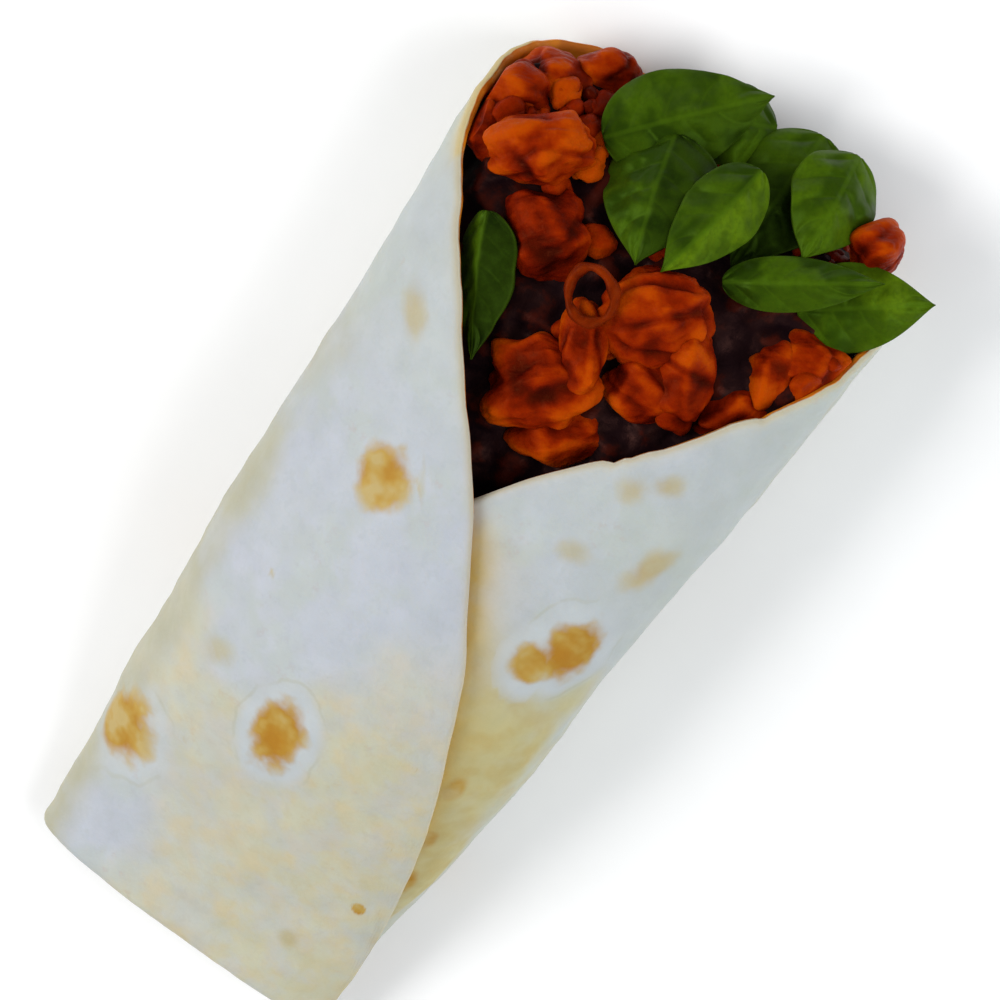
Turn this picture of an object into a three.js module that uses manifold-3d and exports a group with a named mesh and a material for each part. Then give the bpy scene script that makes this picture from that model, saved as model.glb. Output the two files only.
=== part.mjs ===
// A soft flour tortilla wrapped round sauced chicken pieces and basil leaves. It lies on its
// back with the open mouth towards +Y. Millimetres, +Z up, and the origin is on the resting
// face under the middle of the wrap.
import * as THREE from 'three';
import { mergeVertices } from 'three/addons/utils/BufferGeometryUtils.js';
import Module from 'manifold-3d';

const wasm = await Module();
wasm.setup();

// ---- the wrap ----
const LENGTH = 181;              // origin of the distances along to the middle of the back lip
const FOLDED_END = -4;           // distance along at which the sheet turns back under itself
const END_HALF_WIDTH = 33.4;
const MOUTH_HALF_WIDTH = 42;
const WIDTH_REACH = 150;         // the distance over which the wrap widens
const WIDTH_POWER = 0.85;
const END_HEIGHT = 15;           // the squeezed stack of folds
const FULL_HEIGHT = 45;
const SWELL_START = -8;          // the height swells between these two distances
const SWELL_END = 77;
const BACK_POWER = 3;            // squareness of the section's lower and upper halves
const FRONT_POWER = 2.1;
const SETTLE = 0.6;              // how far the soft back is pressed flat where it rests

// ---- the tortilla sheet ----
const SHEET = 2;
const LAYER_GAP = 0.4;
const FOLD_GAP = 0.6;
const TUCK = 12;                 // how far the end is folded up inside
const TUCK_SHARE = 0.6;          // of the sheet's length at most, near the flaps' ends
const TUCK_LEAST = 0.5;
const TUCK_LAP = 2;              // the layers start to close up this far past the tuck
const FADE = 26;                 // beyond the tuck, layers close up over this distance
const BEND_RADIUS = (SHEET + FOLD_GAP) / 2;
const BEND_CENTRE = BEND_RADIUS + SHEET / 2;
const TURN_STEP = Math.PI / 16;
const OUTER_ROWS = 8;
const ROW_POWER = 1.4;           // rows crowd towards the folded end
const BEND_ROWS = 4;

// The rim is the tortilla's round edge. Round the wrap from the middle of its back, it drops
// from the back lip down the free edge of each flap. Turns to the left are positive.
const LEFT_FLAP = { reach: 1.41 * Math.PI, power: 2.3 };
const RIGHT_FLAP = { reach: 1.46 * Math.PI, power: 2.2 };
const RIM_DROP = 0.85;
const LEFT_FLAP_END = 1.4 * Math.PI;   // where each flap's edge is cut at the folded end
const RIGHT_FLAP_END = -21.75 * TURN_STEP;

// The right flap dives one layer under the left one along this part of the turn.
const DIVE_START = 0.25 * Math.PI;
const DIVE_END = 0.5 * Math.PI;

// ---- the filling ----
const HEAP_START = 100;          // the heap is a full quarter round that bulges out of the mouth
const HEAP_REACH = 82;
const HEAP_HEIGHT = 35;
const HEAP_POWER = 2.5;          // squareness of its front
const BED_START = 28;
const BED_END = 175;
const BED_GAP = 1.3;
const BED_SIDE = 0.42 * Math.PI; // how far up the sides the bed's floor reaches
const BED_MARGIN = 0.06 * Math.PI; // and how far it stays inside the rim
const BED_LEAST = 1.5;           // its thickness where it runs out
const BED_STEPS = 8;
const BED_SECTIONS = 9;
const TOUCH_GAP = 0.35;          // kept between pieces that lie on each other
const RIM_MARGIN = 3;            // the gap grows this much along the wrap, for the slanted rim
const NEST_GAP = 1.6;            // round the plain hollows that the pieces sit in
const NEST_STEPS = 2;            // lengthwise faces of a leaf's hollow
const LEAF_SHEET = 0.9;

// Sauced chicken pieces: middle, size along, across and up, heading of the long side in
// degrees from +X, and a seed for the facets.
const CHUNKS = [
  { at: [-28, 73, 28], size: [21, 14.5, 13], heading: 38, seed: 1 },
  { at: [-18, 63, 29], size: [16, 18, 13], heading: 50, seed: 2 },
  { at: [-37, 76, 20], size: [14, 13, 12], heading: 20, seed: 3 },
  { at: [-33, 81, 15], size: [16, 13, 12], heading: 40, seed: 4 },
  { at: [-26, 86, 12], size: [14, 12, 10], heading: 30, seed: 5 },
  { at: [-37, 69, 25], size: [8, 13, 10], heading: 50, seed: 17 },
  { at: [-3, 41, 34], size: [21, 18, 12], heading: 40, seed: 6 },
  { at: [3, 34, 32], size: [18, 11, 9], heading: 36, seed: 7 },
  { at: [-1, 50, 35], size: [9, 18, 11], heading: 30, seed: 8 },
  { at: [5, 61, 33], size: [21, 19, 12], heading: 44, seed: 9 },
  { at: [15, 58, 32], size: [11, 22, 11], heading: 28, seed: 10 },
  { at: [12, 51, 32], size: [15, 13, 10], heading: 20, seed: 11 },
  { at: [26, 55, 28], size: [15, 10, 9], heading: 50, seed: 12 },
  { at: [27, 64, 26], size: [9, 15, 10], heading: 30, seed: 13 },
  { at: [33, 69, 24], size: [15, 14, 11], heading: 36, seed: 14 },
  { at: [29, 91, 17], size: [11, 11, 15], heading: 50, seed: 15 },
  { at: [-1, 52, 31], size: [13, 9, 9], heading: 20, seed: 16 },
];
const FACETS = 11;               // soft facets on each piece
const FACET_POWER = 9;           // how sharply they meet
const FACET_UNEVEN = 0.12;       // how much nearer to the middle some of them are
const FACET_BEAT = 3.7;          // the order in which near and far facets follow each other
const SEED_BEAT = 2.1;
const GOLDEN_TURN = 2.39996;     // spreads the facets evenly
const SMALL_CHUNK = 18;          // pieces shorter than this get fewer faces

// Basil leaves: middle, length, width, heading and pitch of the tip and roll in degrees, how
// far the blade arches, how far its edges fall, how deep they ripple, and how steeply its
// right and left halves are folded down.
const LEAVES = [
  [[23, 81, 29], 28, 10.5, 35, -4, -8, 2, 1, 0.6, [10, 30]],
  [[34, 83, 23], 24, 16, 38, -5, -10, 2, 1.5, 0.8, [15, 5]],
  [[4, 81, 31], 25, 14, -99, 24, -12, 2, 1, 0.5, [30, 8]],
  [[-6, 78, 28], 25, 21, -69, 29, 8, 2.5, 2, 0.8, [12, 12]],
  [[19, 93, 21], 22, 17, -82, 32, -10, 3, 2, 1, [8, 22]],
  [[-5, 93, 16], 21, 15, -152, 22, 16, 2, 2, 1, [5, 5]],
  [[-10, 91, 20], 31, 19, 48, -18, -12, 2, 1.5, 0.6, [16, 12]],
  [[-22, 49, 36], 26, 13, -60, 7, 15, 1, 0.6, 0.3, [32, 28]],
  [[11, 88, 18], 29, 20, -89, 25, 6, 2, 2, 1, [5, 5]],
].map(([at, length, width, heading, pitch, roll, arch, cup, ripple, folds]) => (
  { at, length, width, heading, pitch, roll, arch, cup, ripple, folds }));
const LEAF_RIBS = [-1, -0.55, 0, 0.55, 1];
const LEAF_STEPS = 7;
const BLADE_POWER = 0.7;         // fullness of the blade's outline
const TIP_TAPER = 0.4;           // how much faster it narrows at the tip
const TIP_POWER = 4;             // how close to the tip that sets in
const BLADE_LEAST = 0.05;        // its share of the full width at the very ends
const BLADE_END = 0.01;          // the blade's ends are cut off this share of its length in
const WAVES = 2.5;               // ripples along each edge
const FOLD_FADE = 1.5;           // the folds flatten out where the blade is narrow

// The thin pepper curl: a ring with an oval outline that leans on the heap.
const CURL = { at: [-5, 60, 39], radii: [4.2, 4.8], rod: 0.9, heading: 36, pitch: 10 };
const CURL_SIDES = [5, 14];      // faces round the rod and round the ring

const MERGE = 1e-4;              // points closer than this are one point

const smoothstep = THREE.MathUtils.smoothstep;
const degrees = THREE.MathUtils.degToRad;

// ---- the wrap's own coordinates: turn round it, distance along it, depth below its skin ----

function halfWidth(along) {
  const share = Math.max(0, along) / WIDTH_REACH;
  return END_HALF_WIDTH + (MOUTH_HALF_WIDTH - END_HALF_WIDTH) * share ** WIDTH_POWER;
}

function wrapHeight(along) {
  return END_HEIGHT + (FULL_HEIGHT - END_HEIGHT) * smoothstep(along, SWELL_START, SWELL_END);
}

function wrapPoint(turn, along, depth) {
  const sine = Math.sin(turn);
  const cosine = Math.cos(turn);
  const power = cosine > 0 ? BACK_POWER : FRONT_POWER;
  const reach = (Math.abs(sine) ** power + Math.abs(cosine) ** power) ** (-1 / power);
  const half = wrapHeight(along) / 2;
  const x = -(halfWidth(along) - depth) * reach * sine;
  const z = half - (half - depth) * reach * cosine - SETTLE;
  return new THREE.Vector3(x, along - LENGTH / 2, Math.max(z, depth));
}

// Height of the upper half of the section, at this distance from its middle.
function upperHeight(x, along, depth) {
  const half = wrapHeight(along) / 2;
  const share = Math.min(1, Math.abs(x) / (halfWidth(along) - depth));
  return half + (half - depth) * (1 - share ** FRONT_POWER) ** (1 / FRONT_POWER) - SETTLE;
}

function rimAlong(turn) {
  const flap = turn > 0 ? LEFT_FLAP : RIGHT_FLAP;
  const share = Math.min(1, Math.abs(turn) / flap.reach);
  return LENGTH * (1 - share ** flap.power) ** RIM_DROP;
}

// Depth of the sheet's skin. The right flap lies one layer down, and two where the left
// flap's end is tucked in.
function skinDepth(turn, along) {
  const dive = smoothstep(-turn, DIVE_START, DIVE_END);
  const tucked = 1 - smoothstep(along, TUCK + TUCK_LAP, TUCK + FADE);
  return dive * (SHEET + LAYER_GAP + (SHEET + FOLD_GAP) * tucked);
}

// ---- closed meshes ----

// Lofts through closed sections. Point k of a section faces its point (count - 1 - k), and
// each end is closed by the strip between those two halves.
function loft(sections) {
  const count = sections[0].length;
  const triangles = [];
  for (let i = 0; i + 1 < sections.length; i += 1) {
    for (let k = 0; k < count; k += 1) {
      const a = i * count + k;
      const b = i * count + ((k + 1) % count);
      triangles.push([a, b, b + count], [a, b + count, a + count]);
    }
  }
  const last = (sections.length - 1) * count;
  for (let k = 0; k + 1 < count / 2; k += 1) {
    const [a, b, c, d] = [k, k + 1, count - 2 - k, count - 1 - k];
    triangles.push([a, c, b], [a, d, c]);
    triangles.push([a + last, b + last, c + last], [a + last, c + last, d + last]);
  }
  return solidOf(sections.flat(), triangles);
}

function solidOf(points, triangles) {
  const volume = triangles.reduce((sum, [a, b, c]) => (
    sum + points[a].dot(new THREE.Vector3().crossVectors(points[b], points[c]))), 0);
  const outward = volume > 0 ? triangles : triangles.map(([a, b, c]) => [a, c, b]);
  return new wasm.Manifold(new wasm.Mesh({
    numProp: 3,
    vertProperties: new Float32Array(points.flatMap((point) => point.toArray())),
    triVerts: new Uint32Array(outward.flat()),
  }));
}

function largestPiece(solid) {
  return solid.decompose().reduce((best, piece) => (piece.volume() > best.volume() ? piece : best));
}

function carve(solid, cutters) {
  return largestPiece(cutters.reduce((rest, cutter) => rest.subtract(cutter), solid));
}

// ---- tortilla ----

// The sheet's middle line in one lengthwise cut: up from the tucked edge, round the bend and
// along to the rim. Each step has its distance, its depth and the outward way.
function sheetLine(turn, grow) {
  const rim = rimAlong(turn) + RIM_MARGIN * grow;
  const bend = FOLDED_END + BEND_CENTRE;
  const tuck = bend + Math.max(TUCK_LEAST, Math.min(TUCK - BEND_CENTRE, TUCK_SHARE * (rim - bend)));
  const line = [];
  for (const along of [tuck, (tuck + bend) / 2]) {
    line.push({ along, depth: SHEET / 2 + 2 * BEND_RADIUS, way: [0, 1] });
  }
  for (let i = 0; i <= BEND_ROWS; i += 1) {
    const angle = (Math.PI * i) / BEND_ROWS;
    const way = [-Math.sin(angle), Math.cos(angle)];
    line.push({
      along: bend + BEND_RADIUS * way[0],
      depth: SHEET / 2 + BEND_RADIUS * (1 + way[1]),
      way,
    });
  }
  for (let i = 1; i <= OUTER_ROWS; i += 1) {
    const along = bend + (rim - bend) * (i / OUTER_ROWS) ** ROW_POWER;
    line.push({ along, depth: SHEET / 2, way: [0, -1] });
  }
  return line;
}

function sheetSection(turn, grow) {
  const half = SHEET / 2 + grow;
  const face = (side) => sheetLine(turn, grow).map(({ along, depth, way }) => {
    const skin = skinDepth(turn, along);
    return wrapPoint(turn, along + side * half * way[0], skin + depth + side * half * way[1]);
  });
  return [...face(1), ...face(-1).reverse()];
}

function tortillaSolid(grow = 0) {
  const turns = [];
  for (let turn = RIGHT_FLAP_END; turn < LEFT_FLAP_END - TURN_STEP / 4; turn += TURN_STEP) {
    turns.push(turn);
  }
  turns.push(LEFT_FLAP_END);
  return loft(turns.map((turn) => sheetSection(turn, grow)));
}

// ---- filling bed: the sauced mass that runs through the wrap under the larger pieces ----

function heapHeight(along) {
  const share = Math.max(0, along - HEAP_START) / HEAP_REACH;
  return HEAP_HEIGHT * Math.max(0, 1 - share ** HEAP_POWER) ** (1 / HEAP_POWER);
}

// How far round the back the sheet still reaches at this distance along the wrap.
function rimTurn(along, flap) {
  const drop = Math.min(1, along / LENGTH) ** (1 / RIM_DROP);
  return flap.reach * (1 - drop) ** (1 / flap.power);
}

function bedSection(along) {
  const left = Math.min(BED_SIDE, rimTurn(along, LEFT_FLAP) - BED_MARGIN);
  const right = -Math.min(BED_SIDE, rimTurn(along, RIGHT_FLAP) - BED_MARGIN);
  const cover = skinDepth(-DIVE_END, along) + SHEET + BED_GAP;
  const floor = [];
  const roof = [];
  for (let i = 0; i <= BED_STEPS; i += 1) {
    const turn = left + ((right - left) * i) / BED_STEPS;
    const under = wrapPoint(turn, along, skinDepth(turn, along) + SHEET + BED_GAP);
    const top = Math.min(upperHeight(under.x, along, cover), heapHeight(along));
    floor.push(under);
    roof.push(new THREE.Vector3(under.x, under.y, Math.max(top, under.z + BED_LEAST)));
  }
  return [...floor, ...roof.reverse()];
}

function bedSolid() {
  return loft(Array.from({ length: BED_SECTIONS + 1 }, (_, i) => (
    bedSection(BED_START + ((BED_END - BED_START) * i) / BED_SECTIONS))));
}

// ---- chicken pieces ----

// Turns a piece that points along +X to its heading, pitch and roll, and moves it to its place.
function placing(at, heading, pitch, roll) {
  const turn = new THREE.Euler(degrees(roll), degrees(-pitch), degrees(heading), 'ZYX');
  return new THREE.Matrix4().makeRotationFromEuler(turn).setPosition(...at);
}

// A solid from a ready-made closed geometry, with each of its points moved.
function reshaped(geometry, move) {
  geometry.deleteAttribute('normal');
  geometry.deleteAttribute('uv');
  const merged = mergeVertices(geometry, MERGE);
  const vertices = merged.getAttribute('position');
  const points = Array.from({ length: vertices.count }, (_, i) => (
    move(new THREE.Vector3().fromBufferAttribute(vertices, i))));
  const index = [...merged.getIndex().array];
  const triangles = Array.from({ length: index.length / 3 }, (_, i) => index.slice(3 * i, 3 * i + 3));
  return solidOf(points, triangles);
}

// Distance to the skin of a lump with soft facets, about 1 on the whole.
function lumpReach(way, seed) {
  let push = 0;
  for (let k = 0; k < FACETS; k += 1) {
    const rise = 1 - (2 * k + 1) / FACETS;
    const flat = Math.sqrt(1 - rise * rise);
    const turn = GOLDEN_TURN * k + seed;
    const facet = new THREE.Vector3(flat * Math.cos(turn), flat * Math.sin(turn), rise);
    const apart = 1 - FACET_UNEVEN * (1 - Math.sin(FACET_BEAT * k + SEED_BEAT * seed));
    push += Math.max(0, way.dot(facet) / apart) ** FACET_POWER;
  }
  return push ** (-1 / FACET_POWER);
}

function chunkSolid({ at, size, heading, seed }, grow = 0, fine = Math.max(...size) > SMALL_CHUNK) {
  const place = placing(at, heading, 0, 0);
  return reshaped(new THREE.IcosahedronGeometry(1, fine ? 2 : 1), (vertex) => {
    const way = vertex.normalize();
    const half = new THREE.Vector3(...size).multiplyScalar(lumpReach(way, seed) / 2);
    return way.clone().multiply(half).addScaledVector(way, grow).applyMatrix4(place);
  });
}

// ---- leaves ----

function bladeWidth(share) {
  const taper = BLADE_POWER + TIP_TAPER * share ** TIP_POWER;
  return Math.max(BLADE_LEAST, Math.sin(Math.PI * share ** BLADE_POWER) ** taper);
}

// A point on the upper (face 1) or lower (face -1) face of the blade, at this share of its
// length and share of its full width, and this far across. The folds fade out towards both
// ends.
function bladePoint(leaf, grow, share, profile, across, face) {
  const lift = face * (LEAF_SHEET / 2 + grow);
  const reach = Math.abs(across) * ((leaf.width * profile) / 2 + grow);
  const side = Math.sign(across);
  const steep = side === 0 ? 0 : degrees(leaf.folds[side < 0 ? 0 : 1]);
  const fold = steep * Math.min(1, FOLD_FADE * profile);
  const arch = leaf.arch * (1 - (2 * share - 1) ** 2);
  const wave = leaf.ripple * Math.sin(2 * Math.PI * WAVES * share + 2 * side);
  const bow = arch + (wave - leaf.cup) * across * across * profile;
  return new THREE.Vector3(
    (share - 0.5) * (leaf.length + 2 * grow),
    side * (reach * Math.cos(fold) + lift * Math.sin(fold)),
    bow - reach * Math.sin(fold) + lift * Math.cos(fold));
}

function leafSolid(leaf, grow = 0, steps = LEAF_STEPS, widthAt = bladeWidth) {
  const place = placing(leaf.at, leaf.heading, leaf.pitch, leaf.roll);
  return loft(Array.from({ length: steps + 1 }, (_, i) => {
    const share = BLADE_END + ((1 - 2 * BLADE_END) * i) / steps;
    const edge = (face) => LEAF_RIBS.map((across) => (
      bladePoint(leaf, grow, share, widthAt(share), across, face).applyMatrix4(place)));
    return [...edge(1), ...edge(-1).reverse()];
  }));
}

// The plain slab-shaped hollow that a leaf sits in.
function leafNest(leaf) {
  return leafSolid({ ...leaf, ripple: 0 }, NEST_GAP, NEST_STEPS, () => 1);
}

// ---- pepper curl ----

function curlSolid({ at, radii, rod, heading, pitch }, grow = 0) {
  const place = placing(at, heading, pitch, 0);
  const tube = 0.5;
  return reshaped(new THREE.TorusGeometry(1, tube, ...CURL_SIDES), (vertex) => {
    const round = Math.atan2(vertex.y, vertex.x);
    const out = ((Math.hypot(vertex.x, vertex.y) - 1) / tube) * (rod + grow);
    const point = new THREE.Vector3(
      (radii[0] + out) * Math.cos(round),
      (radii[1] + out) * Math.sin(round),
      (vertex.z / tube) * (rod + grow));
    return point.applyMatrix4(place);
  });
}

// ---- the scene graph ----

function meshOf(solid, name, color, roughness) {
  const { vertProperties, triVerts } = solid.getMesh();
  const geometry = new THREE.BufferGeometry();
  geometry.setAttribute('position', new THREE.BufferAttribute(vertProperties, 3));
  geometry.setIndex(new THREE.BufferAttribute(triVerts, 1));
  geometry.computeVertexNormals();
  const material = new THREE.MeshStandardMaterial({ color, roughness, metalness: 0 });
  const mesh = new THREE.Mesh(geometry, material);
  mesh.name = name;
  return mesh;
}

const wrap = new THREE.Group();
const cutters = [tortillaSolid(TOUCH_GAP)];
wrap.add(meshOf(tortillaSolid(), 'tortilla', 0xd2d5d0, 0.75));
LEAVES.forEach((leaf, i) => {
  wrap.add(meshOf(carve(leafSolid(leaf), cutters), `basil_leaf_${i + 1}`, 0x3c6a12, 0.45));
  cutters.push(leafSolid(leaf, TOUCH_GAP));
});
wrap.add(meshOf(carve(curlSolid(CURL), cutters), 'pepper_curl', 0x8a2a08, 0.4));
cutters.push(curlSolid(CURL, TOUCH_GAP));
CHUNKS.forEach((chunk, i) => {
  wrap.add(meshOf(carve(chunkSolid(chunk), cutters), `chicken_piece_${i + 1}`, 0x8e2405, 0.4));
  cutters.push(chunkSolid(chunk, TOUCH_GAP));
});
const nests = [
  ...LEAVES.map(leafNest),
  curlSolid(CURL, TOUCH_GAP),
  ...CHUNKS.map((chunk) => chunkSolid(chunk, NEST_GAP, false)),
];
wrap.add(meshOf(carve(bedSolid(), nests), 'filling_bed', 0x2a0d08, 0.5));

export default wrap;
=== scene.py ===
"""A flour tortilla wrap filled with sauced chicken pieces and basil leaves.

It lies on its back on a pale floor. Lengths in the shape functions are in millimetres, in
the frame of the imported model, and MM turns them into Blender's metres.
"""
import math

import bmesh
import bpy
import numpy as np
from mathutils import Euler, Matrix, Vector, noise


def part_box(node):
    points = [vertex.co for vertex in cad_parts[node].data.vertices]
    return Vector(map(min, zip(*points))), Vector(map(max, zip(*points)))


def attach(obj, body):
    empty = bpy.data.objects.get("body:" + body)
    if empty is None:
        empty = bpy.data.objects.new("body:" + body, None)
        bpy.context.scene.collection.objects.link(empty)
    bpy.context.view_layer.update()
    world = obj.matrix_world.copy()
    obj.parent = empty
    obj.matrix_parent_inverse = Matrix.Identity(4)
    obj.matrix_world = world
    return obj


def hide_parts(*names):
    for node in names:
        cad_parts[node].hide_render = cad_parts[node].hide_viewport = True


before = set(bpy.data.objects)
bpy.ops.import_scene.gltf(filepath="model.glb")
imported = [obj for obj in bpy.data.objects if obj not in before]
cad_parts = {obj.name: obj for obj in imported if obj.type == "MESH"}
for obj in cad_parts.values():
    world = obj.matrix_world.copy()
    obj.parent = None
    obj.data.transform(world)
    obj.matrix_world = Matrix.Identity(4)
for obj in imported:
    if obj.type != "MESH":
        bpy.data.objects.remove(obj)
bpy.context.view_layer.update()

MM = 0.001

# ---- the wrap ----
LENGTH = 181.0  # from where distances along start to the middle of the back lip
END_HALF_WIDTH = 33.4
MOUTH_HALF_WIDTH = 42.0
WIDTH_REACH = 150.0  # where it is that wide
WIDTH_POWER = 0.85
END_HEIGHT = 15.0  # the squeezed stack of folds
FULL_HEIGHT = 45.0
SWELL = (-8.0, 77.0)  # where the height grows
BACK_POWER = 3.0  # squareness of the section's lower and upper halves
FRONT_POWER = 2.1
SETTLE = 0.6  # how far the soft back is pressed flat where it rests

# ---- the tortilla sheet ----
SHEET = 2.0
LAYER_GAP = 0.4
FOLD_GAP = 0.6
FOLDED_END = -4.0  # where the sheet turns back under itself
TUCK = 12.0  # how far the end is folded up inside
TUCK_SHARE = 0.6  # of the sheet's length at most
TUCK_LEAST = 0.5
TUCK_LAP = 2.0  # past the tuck the layers close up, from here to FADE
FADE = 26.0
BEND_RADIUS = (SHEET + FOLD_GAP) / 2
BEND_CENTRE = BEND_RADIUS + SHEET / 2

# Turns round the wrap start at the middle of its back, and turns to the left are positive.
# Each flap has its reach and the power of its rim's curve.
LEFT_FLAP = (1.41 * math.pi, 2.3)
RIGHT_FLAP = (1.46 * math.pi, 2.2)
RIM_DROP = 0.85  # power of the rim's drop from the back lip to the flaps' ends
FLAP_ENDS = (-1.36 * math.pi, 1.4 * math.pi)
DIVE = (0.25 * math.pi, 0.5 * math.pi)  # here the right flap dives under the left one

# ---- the filling ----
TOUCH = 0.3  # kept between the filling's pieces and the sheet
HEAP_START = 100.0  # from here the heap drops in a quarter round
HEAP_REACH = 82.0
HEAP_HEIGHT = 35.0
HEAP_POWER = 2.5  # squareness of its front
BED_START = 28.0
BED_END = 175.0
BED_SIDE = 0.42 * math.pi  # how far up the sides the bed's floor reaches
BED_MARGIN = 0.06 * math.pi  # and how far it stays inside the rim
BED_LEAST = 1.5  # its thickness where it runs out
BED_GAP = 1.3

# Each chicken piece: size along, across and up, heading in degrees, seed, and how bright its
# sauce is.
CHUNKS = [
    ((21, 14.5, 13), 38, 1, 0.38),
    ((16, 18, 13), 50, 2, -0.22),
    ((14, 13, 12), 20, 3, 0.12),
    ((16, 13, 12), 40, 4, 0.15),
    ((14, 12, 10), 30, 5, 0.18),
    ((8, 13, 10), 50, 17, 0),
    ((21, 18, 12), 40, 6, 0.17),
    ((18, 11, 9), 36, 7, 0.15),
    ((9, 18, 11), 30, 8, 0.1),
    ((21, 19, 12), 44, 9, 0.05),
    ((11, 22, 11), 28, 10, 0.02),
    ((15, 13, 10), 20, 11, 0.05),
    ((15, 10, 9), 50, 12, 0.05),
    ((9, 15, 10), 30, 13, 0.25),
    ((15, 14, 11), 36, 14, 0.36),
    ((11, 11, 15), 50, 15, 0.3),
    ((13, 9, 9), 20, 16, 0),
]

# Each leaf: length and width, heading, pitch and roll in degrees, arch, cup and ripple, how
# steeply the right and left halves are folded down in degrees, how light their greens are, and
# how much lighter towards the tip. These greens are painted light and shade: a half turned to the
# light is lighter, a leaf lying in shade darker.
LEAVES = [
    (28, 10.5, 35, -4, -8, 2, 1, 0.6, (10, 30), (0.6, 0.95, 0)),
    (24, 16, 38, -5, -10, 2, 1.5, 0.8, (15, 5), (1.25, 1.35, 0.5)),
    (25, 14, -99, 24, -12, 2, 1, 0.5, (30, 8), (0.75, 1.5, 0)),
    (25, 21, -69, 29, 8, 2.5, 2, 0.8, (12, 12), (0.85, 0.3, 0)),
    (22, 17, -82, 32, -10, 3, 2, 1, (8, 22), (1.15, 1.2, 0)),
    (21, 15, -152, 22, 16, 2, 2, 1, (5, 5), (0.75, 0.75, 0)),
    (31, 19, 48, -18, -12, 2, 1.5, 0.6, (16, 12), (0.55, 0.8, 0)),
    (26, 13, -60, 7, 15, 1, 0.6, 0.3, (32, 28), (0.9, 0, 0)),
    (29, 20, -89, 25, 6, 2, 2, 1, (5, 5), (0.05, 0.05, -1.2)),
]

# Each toasted spot: turn in degrees, distance along, half sizes across and along, slant in
# degrees, strength, and the strength of the pale halo round it.
SPOTS = [
    (156, 103, 5.8, 6.8, 35, 0.85, 0.2),
    (172, 51, 5.6, 8.6, 5, 1, 1),
    (121.5, 27, 6.4, 8.4, -6, 0.88, 0.8),
    (-130.5, 95.5, 6.6, 7.6, -17, 1, 1),
    (-139.5, 90, 3.8, 5, 35, 0.95, 1),
    (144, 76, 1.4, 1.2, 0, 0.5, 0),
    (225, 26, 1.4, 1.4, 0, 1, 0),
    (211, 11, 2.8, 2.6, 20, 0.5, 0),
    (142, 56, 4.6, 3.2, 35, 0.45, 0),
    (219, 43, 0.9, 0.9, 0, 0.55, 0),
    (209, 62, 0.9, 0.9, 0, 0.5, 0),
    (149, 36, 0.9, 0.9, 0, 0.5, 0),
    (-152, 112, 4, 3, 0, 0.45, 0),
    (-127, 116, 4, 6.4, -15, 0.55, 0),
    (-149, 127, 3.4, 3.6, 0, 0.48, 0),
    (-141, 131, 4, 2.6, 30, 0.5, 0),
    (138, 129.5, 3.4, 6.4, 50, 0.5, 0),
    (165, 108, 0.8, 5, 35, 0.4, 0),
    (-120, 36, 3.4, 3.8, 0, 0.8, 0),
    (-126, 48, 2.4, 2.6, 0, 0.7, 0),
    (-132, 61, 2.6, 3.4, 0, 0.75, 0),
    # on the back and low on its sides
    (70, 60, 6, 7, 0, 0.9, 0.8),
    (20, 120, 6, 8, 30, 1, 0.7),
    (-30, 70, 7, 6, 0, 0.9, 0.6),
    (-75, 110, 6, 5, 0, 0.8, 0.6),
    (-60, 35, 5, 6, 0, 0.7, 0.5),
    (40, 30, 5, 5, 0, 0.8, 0.6),
    (-10, 150, 5, 4, 0, 0.6, 0.3),
    (95, 95, 3, 4, 0, 0.4, 0),
]

# Each dip in the rim: turn and half width in degrees, and depth.
DIPS = [(-157, 1.6, 1.2), (-153.5, 1.0, 0.8), (-126.5, 1.6, 0.7), (152, 3.0, 0.6)]


def smoothstep(value, low, high):
    share = np.clip((value - low) / (high - low), 0.0, 1.0)
    return share * share * (3 - 2 * share)


def window(value, rise, fall):
    """Rises to 1 over the first range and falls again over the second."""
    return smoothstep(value, *rise) * (1 - smoothstep(value, *fall))


def blend(pair, share):
    """From the first number of the pair to the second."""
    return pair[0] + (pair[1] - pair[0]) * share


# ---- the wrap's own coordinates: turn round it, distance along it, depth below its skin ----

def half_width(along):
    share = np.maximum(0.0, along) / WIDTH_REACH
    return END_HALF_WIDTH + (MOUTH_HALF_WIDTH - END_HALF_WIDTH) * share ** WIDTH_POWER


def wrap_height(along):
    return END_HEIGHT + (FULL_HEIGHT - END_HEIGHT) * smoothstep(along, *SWELL)


def wrap_point(turn, along, depth):
    """The point this deep below the wrap's skin, never lower than its depth above the floor."""
    sine, cosine = np.sin(turn), np.cos(turn)
    power = np.where(cosine > 0, BACK_POWER, FRONT_POWER)
    reach = (np.abs(sine) ** power + np.abs(cosine) ** power) ** (-1 / power)
    half = wrap_height(along) / 2
    x = -(half_width(along) - depth) * reach * sine
    z = half - (half - depth) * reach * cosine - SETTLE
    return np.stack([x, along - LENGTH / 2 + 0 * x, np.maximum(z, depth)], axis=-1)


def upper_height(x, along, depth):
    """Height of the upper half of the section, at this distance from its middle."""
    half = wrap_height(along) / 2
    share = np.minimum(1.0, np.abs(x) / (half_width(along) - depth))
    return half + (half - depth) * (1 - share ** FRONT_POWER) ** (1 / FRONT_POWER) - SETTLE


def rim_along(turn):
    """How far along the wrap the sheet's plain rim is at this turn."""
    reach = np.where(turn > 0, LEFT_FLAP[0], RIGHT_FLAP[0])
    power = np.where(turn > 0, LEFT_FLAP[1], RIGHT_FLAP[1])
    share = np.minimum(1.0, np.abs(turn) / reach)
    return LENGTH * (1 - share ** power) ** RIM_DROP


def rim_turn(along, flap):
    """How far round the back the sheet still reaches at this distance along the wrap."""
    drop = min(1.0, along / LENGTH) ** (1 / RIM_DROP)
    return flap[0] * (1 - drop) ** (1 / flap[1])


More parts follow.
